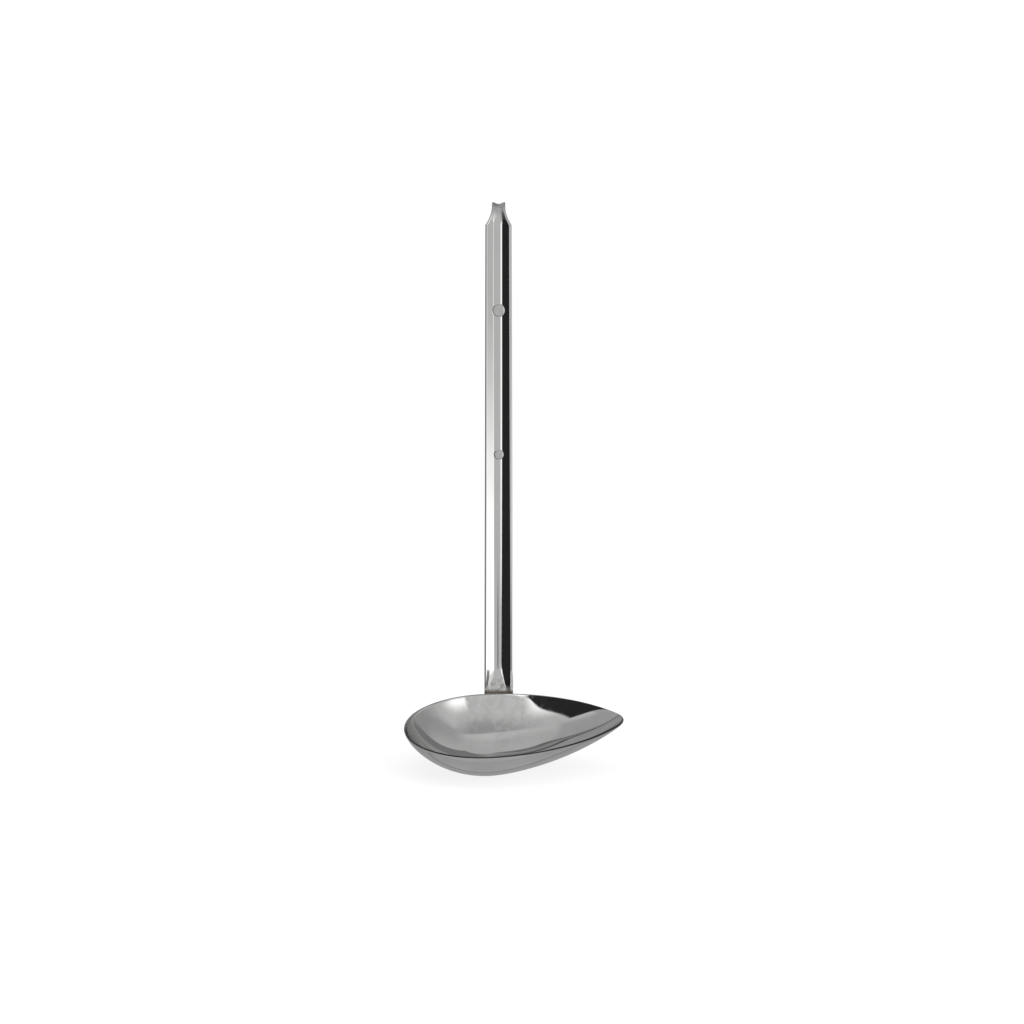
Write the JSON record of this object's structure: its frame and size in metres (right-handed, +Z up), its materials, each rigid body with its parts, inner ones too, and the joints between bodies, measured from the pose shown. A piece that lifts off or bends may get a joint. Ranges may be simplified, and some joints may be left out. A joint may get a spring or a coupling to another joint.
{
  "type": "sauce ladle",
  "caption": "Polished steel sauce ladle: pressed bowl drawn out into a side spout, with an upright channelled strip handle that ends in a hanging hook.",
  "frame": {"origin": "middle of the flat seat inside the hook, where the ladle hangs on a rail", "axes": "+Z up along the handle, +X towards the side the spout points to, -Y towards the user, who looks into the handle's hollow face"},
  "size_m": [0.101, 0.0968, 0.2579],
  "materials": {
    "polished_steel": "mirror-polished pressed stainless steel",
    "handle_steel": "mirror-polished stainless strip with fine lengthwise polishing lines",
    "weld_steel": "ground steel weld bead",
    "tinted_weld": "steel weld with a brown heat tint"
  },
  "bodies": {
    "root": {"bowl": "polished_steel", "handle": "handle_steel", "weld_seam": "weld_steel", "rim_weld": "tinted_weld"}
  },
  "joints": []
}
